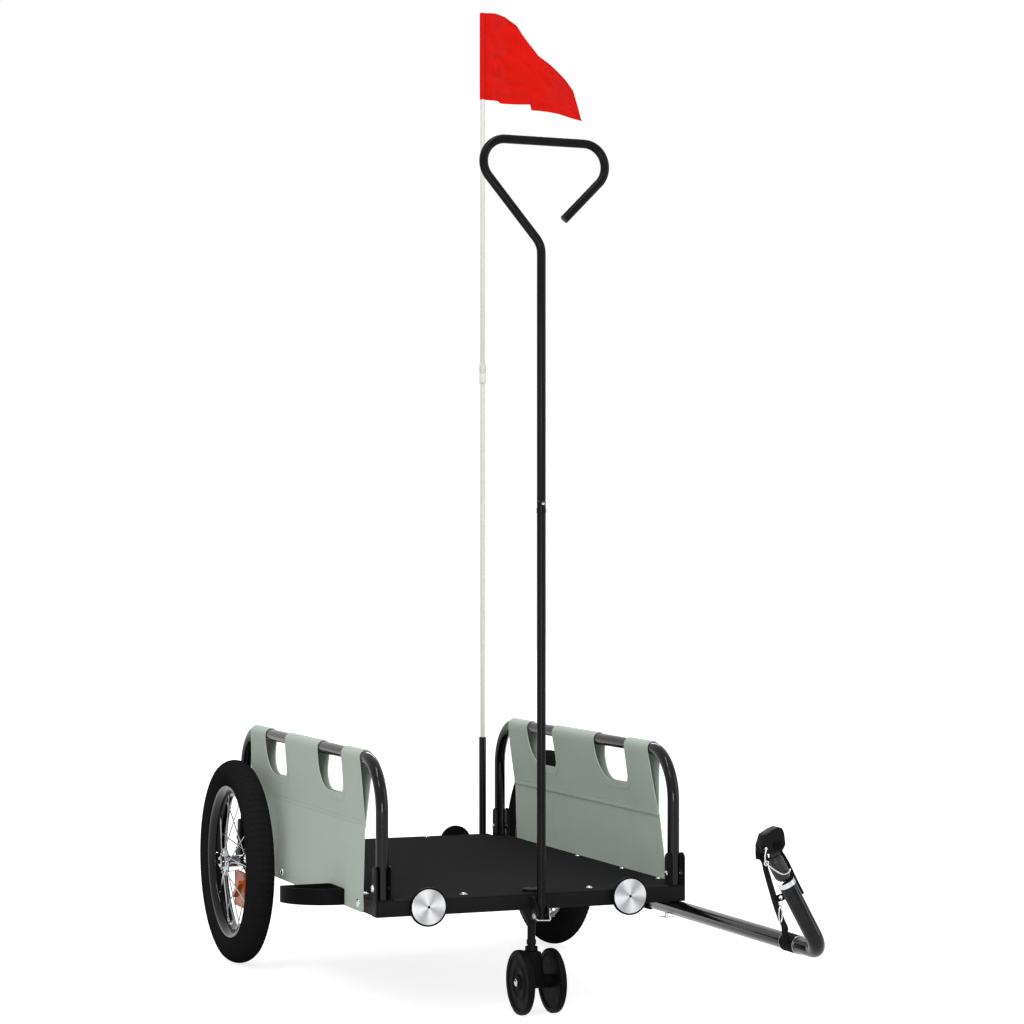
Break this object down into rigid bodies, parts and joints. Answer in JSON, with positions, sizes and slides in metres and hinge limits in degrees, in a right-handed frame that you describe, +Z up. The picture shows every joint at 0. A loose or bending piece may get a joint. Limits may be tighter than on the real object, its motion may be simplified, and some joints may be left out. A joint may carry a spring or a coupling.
{
  "type": "bicycle trailer",
  "caption": "Flat-bed bicycle trailer with fabric sides on tube hoops, spoked wheels, a nose caster, a pull handle, a tow arm with a flexible hitch, and a pennant.",
  "frame": {"origin": "on the ground, under the middle of the bounding box", "axes": "+Z up, -Y forwards in the towing direction, +X towards the trailer's left side, where the tow arm is"},
  "size_m": [0.8758, 1.4842, 1.9618],
  "materials": {
    "frame_steel": "satin black powder coat",
    "tube_steel": "gloss black paint",
    "deck_board": "matt dark grey board",
    "zinc_steel": "bright zinc",
    "chrome": "polished",
    "sage_fabric": "coated woven cloth",
    "tyre_rubber": "matt tread",
    "black_plastic": "moulded",
    "boot_rubber": "smooth",
    "orange_lens": "prismatic",
    "clear_lens": "prismatic",
    "red_lens": "prismatic",
    "webbing": "woven webbing",
    "white_pole": "fibreglass rod",
    "red_flag": "coated cloth with a gloss"
  },
  "bodies": {
    "chassis": {"deck_frame": "frame_steel", "deck_panel": "deck_board", "left_side_hoop": "tube_steel", "left_side_panel": "sage_fabric", "left_axle": "zinc_steel", "left_wheel_guard": "black_plastic", "left_front_bracket": "frame_steel", "left_front_bolt": "zinc_steel", "left_rear_bracket": "frame_steel", "left_rear_bolt": "zinc_steel", "right_side_hoop": "tube_steel", "right_side_panel": "sage_fabric", "right_axle": "zinc_steel", "right_wheel_guard": "black_plastic", "right_front_bracket": "frame_steel", "right_front_bolt": "zinc_steel", "right_rear_bracket": "frame_steel", "right_rear_bolt": "zinc_steel", "caster_stem": "frame_steel", "caster_cap": "black_plastic", "handle_bracket": "frame_steel", "handle_pin": "zinc_steel", "tow_arm": "tube_steel", "arm_clamp": "frame_steel", "arm_pin": "zinc_steel", "hitch_ferrule": "zinc_steel", "safety_strap": "webbing", "strap_tail": "webbing", "snap_hook": "zinc_steel", "flag_holder": "tube_steel", "front_right_reflector": "clear_lens", "front_left_reflector": "clear_lens", "rear_right_reflector": "red_lens", "rear_left_reflector": "red_lens"},
    "left_wheel": {"left_hub": "chrome", "left_rim": "tube_steel", "left_tyre": "tyre_rubber", "left_spoke_reflector": "orange_lens"},
    "right_wheel": {"right_hub": "chrome", "right_rim": "tube_steel", "right_tyre": "tyre_rubber", "right_spoke_reflector": "orange_lens"},
    "left_release": {"left_release_button": "black_plastic"},
    "right_release": {"right_release_button": "black_plastic"},
    "caster_fork": {"caster_body": "black_plastic", "caster_axle": "zinc_steel"},
    "left_caster_roller": {"left_caster_wheel": "black_plastic"},
    "right_caster_roller": {"right_caster_wheel": "black_plastic"},
    "handle": {"handle_lower": "tube_steel", "handle_upper": "tube_steel"},
    "handle_button": {"handle_snap_button": "zinc_steel"},
    "flag_mast": {"flag_pole_lower": "white_pole", "flag_pole_upper": "white_pole", "flag_ferrule": "white_pole", "flag": "red_flag"},
    "hitch_joint": {"hitch_boot": "boot_rubber"},
    "hitch_head": {"hitch_coupler": "frame_steel", "hitch_pin": "zinc_steel", "hitch_lock_pin": "zinc_steel"}
  },
  "joints": [
    {"name": "left_wheel_spin", "type": "hinge", "parent": "chassis", "child": "left_wheel", "pos_m": [0.28775, 0.5421, 0.2], "axis": [1, 0, 0], "continuous": true},
    {"name": "right_wheel_spin", "type": "hinge", "parent": "chassis", "child": "right_wheel", "pos_m": [-0.38585, 0.5421, 0.2], "axis": [1, 0, 0], "continuous": true},
    {"name": "left_release_press", "type": "slide", "parent": "chassis", "child": "left_release", "axis": [-1, 0, 0], "range_m": [0, 0.004], "stiffness_N_per_m": 400, "springref_m": -0.002},
    {"name": "right_release_press", "type": "slide", "parent": "chassis", "child": "right_release", "axis": [1, 0, 0], "range_m": [0, 0.004], "stiffness_N_per_m": 400, "springref_m": -0.002},
    {"name": "caster_swivel", "type": "hinge", "parent": "chassis", "child": "caster_fork", "pos_m": [-0.04905, -0.1809, 0.1], "axis": [0, 0, 1], "continuous": true},
    {"name": "left_caster_roll", "type": "hinge", "parent": "caster_fork", "child": "left_caster_roller", "pos_m": [-0.01905, -0.2039, 0.057], "axis": [1, 0, 0], "continuous": true},
    {"name": "right_caster_roll", "type": "hinge", "parent": "caster_fork", "child": "right_caster_roller", "pos_m": [-0.07905, -0.2039, 0.057], "axis": [1, 0, 0], "continuous": true},
    {"name": "handle_tilt", "type": "hinge", "parent": "chassis", "child": "handle", "pos_m": [-0.04905, -0.2269, 0.176], "axis": [1, 0, 0], "range_deg": [0, 75]},
    {"name": "handle_button_press", "type": "slide", "parent": "handle", "child": "handle_button", "axis": [0, 1, 0], "range_m": [0, 0.003], "stiffness_N_per_m": 400, "springref_m": -0.002},
    {"name": "flag_lift", "type": "slide", "parent": "chassis", "child": "flag_mast", "axis": [0, 0, 1], "range_m": [0, 0.22]},
    {"name": "hitch_flex", "type": "hinge", "parent": "chassis", "child": "hitch_joint", "pos_m": [0.16233, -0.7246, 0.29812], "axis": [0, 1, 0], "range_deg": [-15, 15], "stiffness_Nm_per_rad": 20},
    {"name": "hitch_pivot", "type": "hinge", "parent": "hitch_joint", "child": "hitch_head", "pos_m": [0.1495, -0.7246, 0.3455], "axis": [0, 1, 0], "range_deg": [-12, 15]}
  ]
}
